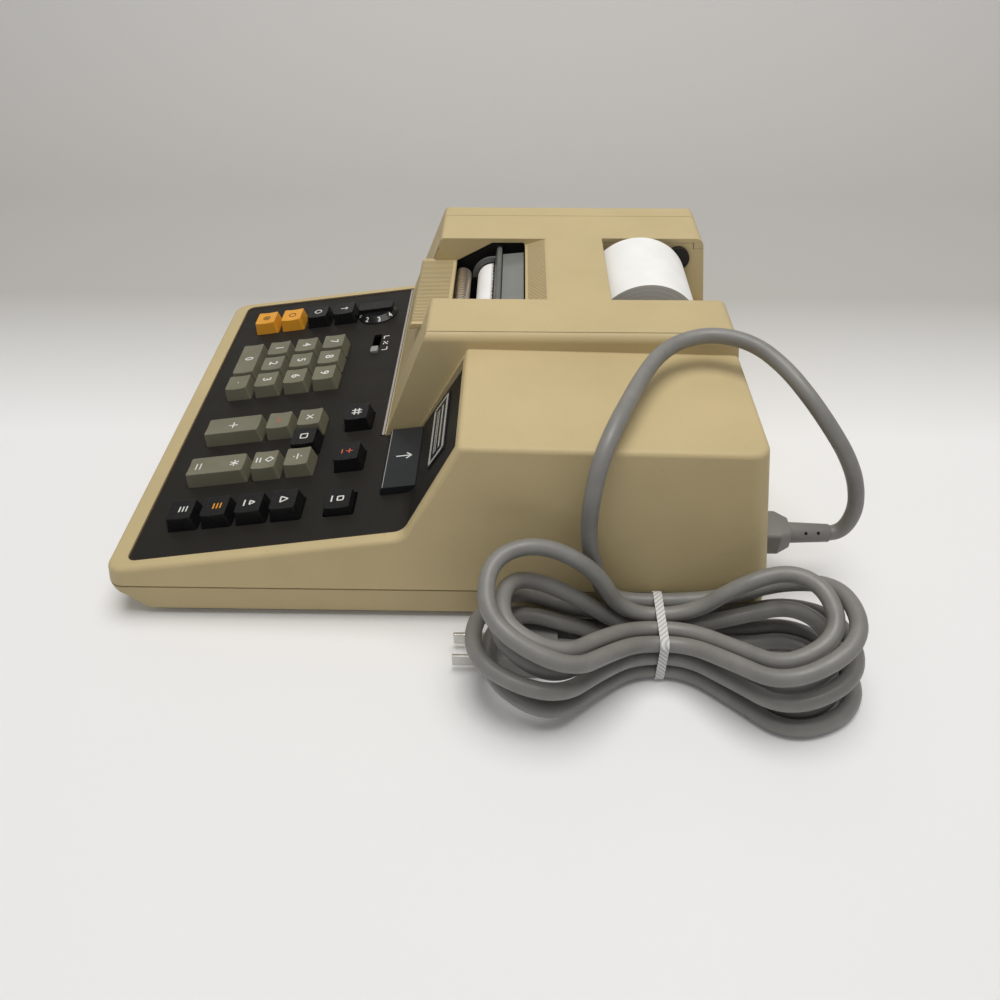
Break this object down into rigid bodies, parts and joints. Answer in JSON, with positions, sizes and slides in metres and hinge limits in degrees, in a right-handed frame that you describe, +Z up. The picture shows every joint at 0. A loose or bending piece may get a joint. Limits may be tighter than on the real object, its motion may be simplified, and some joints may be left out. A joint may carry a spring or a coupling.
{
  "type": "desk printing calculator",
  "caption": "Desk adding machine with a sloping keyboard, printing drum and paper roll under a lift-off cover, and a tied mains lead.",
  "frame": {"origin": "centre of the footprint on the surface the feet stand on, the mains lead left out", "axes": "-Y towards the operator at the keyboard, +Y to the rear, +X to the operator's right, +Z up"},
  "size_m": [0.3254, 0.3608, 0.1156],
  "materials": {
    "case_beige": "fine-grained moulded plastic",
    "panel_plate": "dark satin painted plate",
    "plate_black": "black satin with a silver border",
    "key_black": "smooth moulded keys",
    "key_olive": "smooth moulded keys",
    "key_orange": "smooth moulded keys",
    "control_dark": "moulded plastic",
    "control_grey": "moulded plastic",
    "paper_white": "uncoated paper",
    "drum_copper": "bronze-brown ribbed drum",
    "platen_rubber": "ground rubber roller",
    "frame_steel": "black-painted sheet steel",
    "pinion_brass": "turned brass",
    "bar_grey": "moulded plastic",
    "guide_smoked": "grey smooth plastic",
    "board_green": "glass-fibre board",
    "switch_dark": "moulded plastic",
    "transformer_iron": "varnished laminations",
    "feet_rubber": "soft rubber",
    "screw_steel": "plated steel",
    "inlet_dark": "moulded plastic",
    "cord_grey": "grey flexible sheath",
    "tie_white": "soft white tie"
  },
  "bodies": {
    "case": {"lower_case": "case_beige", "upper_case": "case_beige", "keyboard_panel": "panel_plate", "name_plate": "plate_black", "printer_frame": "frame_steel", "printer_motor": "frame_steel", "tear_bar": "bar_grey", "paper_guide": "guide_smoked", "paper_strip": "paper_white", "roll_spindle": "control_grey", "well_boss": "control_dark", "main_board": "board_green", "keyboard_board": "board_green", "key_switches": "switch_dark", "transformer": "transformer_iron", "rubber_feet": "feet_rubber", "case_screws": "screw_steel", "power_inlet": "inlet_dark", "cord_connector": "cord_grey", "cord_free": "cord_grey", "cord_hank": "cord_grey", "cord_tie": "tie_white", "plug": "cord_grey"},
    "key_0_body": {"key_0": "key_olive"},
    "key_point_body": {"key_point": "key_olive"},
    "key_plus_body": {"key_plus": "key_olive"},
    "key_minus_body": {"key_minus": "key_olive"},
    "key_multiply_body": {"key_multiply": "key_olive"},
    "key_divide_body": {"key_divide": "key_olive"},
    "key_subtotal_body": {"key_subtotal": "key_olive"},
    "key_total_body": {"key_total": "key_olive"},
    "key_1_body": {"key_1": "key_olive"},
    "key_2_body": {"key_2": "key_olive"},
    "key_3_body": {"key_3": "key_olive"},
    "key_4_body": {"key_4": "key_olive"},
    "key_5_body": {"key_5": "key_olive"},
    "key_6_body": {"key_6": "key_olive"},
    "key_7_body": {"key_7": "key_olive"},
    "key_8_body": {"key_8": "key_olive"},
    "key_9_body": {"key_9": "key_olive"},
    "key_clear_body": {"key_clear": "key_orange"},
    "key_clear_entry_body": {"key_clear_entry": "key_orange"},
    "key_arrow_body": {"key_arrow": "key_black"},
    "key_sign_entry_body": {"key_sign_entry": "key_black"},
    "key_memory_minus_body": {"key_memory_minus": "key_black"},
    "key_hash_body": {"key_hash": "key_black"},
    "key_constant_body": {"key_constant": "key_black"},
    "key_sign_change_body": {"key_sign_change": "key_black"},
    "key_memory_total_body": {"key_memory_total": "key_black"},
    "key_memory_subtotal_body": {"key_memory_subtotal": "key_black"},
    "key_memory_plus_body": {"key_memory_plus": "key_black"},
    "key_auto_memory_body": {"key_auto_memory": "key_black"},
    "feed_key_body": {"paper_feed_key": "control_dark"},
    "rounding_switch_body": {"rounding_switch": "control_grey"},
    "decimal_dial_body": {"decimal_dial": "control_dark"},
    "paper_roll_body": {"paper_roll": "paper_white"},
    "print_drum_body": {"print_drum": "drum_copper"},
    "motor_pinion_body": {"motor_pinion": "pinion_brass"},
    "platen_roller_body": {"platen_roller": "platen_rubber"},
    "printer_cover_body": {"printer_cover": "case_beige"}
  },
  "joints": [
    {"name": "key_0_press", "type": "slide", "parent": "case", "child": "key_0_body", "axis": [0, -0.1444, 0.9895], "range_m": [-0.0032, 0], "stiffness_N_per_m": 200, "springref_m": 0.003},
    {"name": "key_point_press", "type": "slide", "parent": "case", "child": "key_point_body", "axis": [0, -0.1444, 0.9895], "range_m": [-0.0032, 0], "stiffness_N_per_m": 200, "springref_m": 0.003},
    {"name": "key_plus_press", "type": "slide", "parent": "case", "child": "key_plus_body", "axis": [0, -0.1444, 0.9895], "range_m": [-0.0032, 0], "stiffness_N_per_m": 200, "springref_m": 0.003},
    {"name": "key_minus_press", "type": "slide", "parent": "case", "child": "key_minus_body", "axis": [0, -0.1444, 0.9895], "range_m": [-0.0032, 0], "stiffness_N_per_m": 200, "springref_m": 0.003},
    {"name": "key_multiply_press", "type": "slide", "parent": "case", "child": "key_multiply_body", "axis": [0, -0.1444, 0.9895], "range_m": [-0.0032, 0], "stiffness_N_per_m": 200, "springref_m": 0.003},
    {"name": "key_divide_press", "type": "slide", "parent": "case", "child": "key_divide_body", "axis": [0, -0.1444, 0.9895], "range_m": [-0.0032, 0], "stiffness_N_per_m": 200, "springref_m": 0.003},
    {"name": "key_subtotal_press", "type": "slide", "parent": "case", "child": "key_subtotal_body", "axis": [0, -0.1444, 0.9895], "range_m": [-0.0032, 0], "stiffness_N_per_m": 200, "springref_m": 0.003},
    {"name": "key_total_press", "type": "slide", "parent": "case", "child": "key_total_body", "axis": [0, -0.1444, 0.9895], "range_m": [-0.0032, 0], "stiffness_N_per_m": 200, "springref_m": 0.003},
    {"name": "key_1_press", "type": "slide", "parent": "case", "child": "key_1_body", "axis": [0, -0.1444, 0.9895], "range_m": [-0.0032, 0], "stiffness_N_per_m": 200, "springref_m": 0.003},
    {"name": "key_2_press", "type": "slide", "parent": "case", "child": "key_2_body", "axis": [0, -0.1444, 0.9895], "range_m": [-0.0032, 0], "stiffness_N_per_m": 200, "springref_m": 0.003},
    {"name": "key_3_press", "type": "slide", "parent": "case", "child": "key_3_body", "axis": [0, -0.1444, 0.9895], "range_m": [-0.0032, 0], "stiffness_N_per_m": 200, "springref_m": 0.003},
    {"name": "key_4_press", "type": "slide", "parent": "case", "child": "key_4_body", "axis": [0, -0.1444, 0.9895], "range_m": [-0.0032, 0], "stiffness_N_per_m": 200, "springref_m": 0.003},
    {"name": "key_5_press", "type": "slide", "parent": "case", "child": "key_5_body", "axis": [0, -0.1444, 0.9895], "range_m": [-0.0032, 0], "stiffness_N_per_m": 200, "springref_m": 0.003},
    {"name": "key_6_press", "type": "slide", "parent": "case", "child": "key_6_body", "axis": [0, -0.1444, 0.9895], "range_m": [-0.0032, 0], "stiffness_N_per_m": 200, "springref_m": 0.003},
    {"name": "key_7_press", "type": "slide", "parent": "case", "child": "key_7_body", "axis": [0, -0.1444, 0.9895], "range_m": [-0.0032, 0], "stiffness_N_per_m": 200, "springref_m": 0.003},
    {"name": "key_8_press", "type": "slide", "parent": "case", "child": "key_8_body", "axis": [0, -0.1444, 0.9895], "range_m": [-0.0032, 0], "stiffness_N_per_m": 200, "springref_m": 0.003},
    {"name": "key_9_press", "type": "slide", "parent": "case", "child": "key_9_body", "axis": [0, -0.1444, 0.9895], "range_m": [-0.0032, 0], "stiffness_N_per_m": 200, "springref_m": 0.003},
    {"name": "key_clear_press", "type": "slide", "parent": "case", "child": "key_clear_body", "axis": [0, -0.1444, 0.9895], "range_m": [-0.0032, 0], "stiffness_N_per_m": 200, "springref_m": 0.003},
    {"name": "key_clear_entry_press", "type": "slide", "parent": "case", "child": "key_clear_entry_body", "axis": [0, -0.1444, 0.9895], "range_m": [-0.0032, 0], "stiffness_N_per_m": 200, "springref_m": 0.003},
    {"name": "key_arrow_press", "type": "slide", "parent": "case", "child": "key_arrow_body", "axis": [0, -0.1444, 0.9895], "range_m": [-0.0032, 0], "stiffness_N_per_m": 200, "springref_m": 0.003},
    {"name": "key_sign_entry_press", "type": "slide", "parent": "case", "child": "key_sign_entry_body", "axis": [0, -0.1444, 0.9895], "range_m": [-0.0032, 0], "stiffness_N_per_m": 200, "springref_m": 0.003},
    {"name": "key_memory_minus_press", "type": "slide", "parent": "case", "child": "key_memory_minus_body", "axis": [0, -0.1444, 0.9895], "range_m": [-0.0032, 0], "stiffness_N_per_m": 200, "springref_m": 0.003},
    {"name": "key_hash_press", "type": "slide", "parent": "case", "child": "key_hash_body", "axis": [0, -0.1444, 0.9895], "range_m": [-0.0032, 0], "stiffness_N_per_m": 200, "springref_m": 0.003},
    {"name": "key_constant_press", "type": "slide", "parent": "case", "child": "key_constant_body", "axis": [0, -0.1444, 0.9895], "range_m": [-0.0032, 0], "stiffness_N_per_m": 200, "springref_m": 0.003},
    {"name": "key_sign_change_press", "type": "slide", "parent": "case", "child": "key_sign_change_body", "axis": [0, -0.1444, 0.9895], "range_m": [-0.0032, 0], "stiffness_N_per_m": 200, "springref_m": 0.003},
    {"name": "key_memory_total_press", "type": "slide", "parent": "case", "child": "key_memory_total_body", "axis": [0, -0.1444, 0.9895], "range_m": [-0.0032, 0], "stiffness_N_per_m": 200, "springref_m": 0.003},
    {"name": "key_memory_subtotal_press", "type": "slide", "parent": "case", "child": "key_memory_subtotal_body", "axis": [0, -0.1444, 0.9895], "range_m": [-0.0032, 0], "stiffness_N_per_m": 200, "springref_m": 0.003},
    {"name": "key_memory_plus_press", "type": "slide", "parent": "case", "child": "key_memory_plus_body", "axis": [0, -0.1444, 0.9895], "range_m": [-0.0032, 0], "stiffness_N_per_m": 200, "springref_m": 0.003},
    {"name": "key_auto_memory_press", "type": "slide", "parent": "case", "child": "key_auto_memory_body", "axis": [0, -0.1444, 0.9895], "range_m": [0, 0.003]},
    {"name": "paper_feed_press", "type": "slide", "parent": "case", "child": "feed_key_body", "axis": [0, -0.1444, 0.9895], "range_m": [-0.002, 0], "stiffness_N_per_m": 250, "springref_m": 0.003},
    {"name": "rounding_switch_slide", "type": "slide", "parent": "case", "child": "rounding_switch_body", "axis": [1, 0, 0], "range_m": [-0.015, 0]},
    {"name": "decimal_dial_turn", "type": "hinge", "parent": "case", "child": "decimal_dial_body", "pos_m": [-0.092, -0.05262, 0.0437], "axis": [0, -0.1444, 0.9895], "range_deg": [-150, 150]},
    {"name": "paper_roll_turn", "type": "hinge", "parent": "case", "child": "paper_roll_body", "pos_m": [-0.0366, 0.1082, 0.0799], "axis": [1, 0, 0], "continuous": true},
    {"name": "print_drum_turn", "type": "hinge", "parent": "case", "child": "print_drum_body", "pos_m": [-0.034, 0.0055, 0.0842], "axis": [1, 0, 0], "continuous": true},
    {"name": "motor_pinion_turn", "type": "hinge", "parent": "case", "child": "motor_pinion_body", "pos_m": [0.0122, 0.01707, 0.07041], "axis": [1, 0, 0], "continuous": true},
    {"name": "platen_roller_turn", "type": "hinge", "parent": "case", "child": "platen_roller_body", "pos_m": [-0.034, 0.0234, 0.083], "axis": [1, 0, 0], "continuous": true},
    {"name": "printer_cover_lift", "type": "slide", "parent": "case", "child": "printer_cover_body", "axis": [0, 0, 1], "range_m": [0, 0.06]}
  ],
  "couplings": [
    {"joint": "motor_pinion_turn", "follows": "print_drum_turn", "ratio": -2}
  ]
}
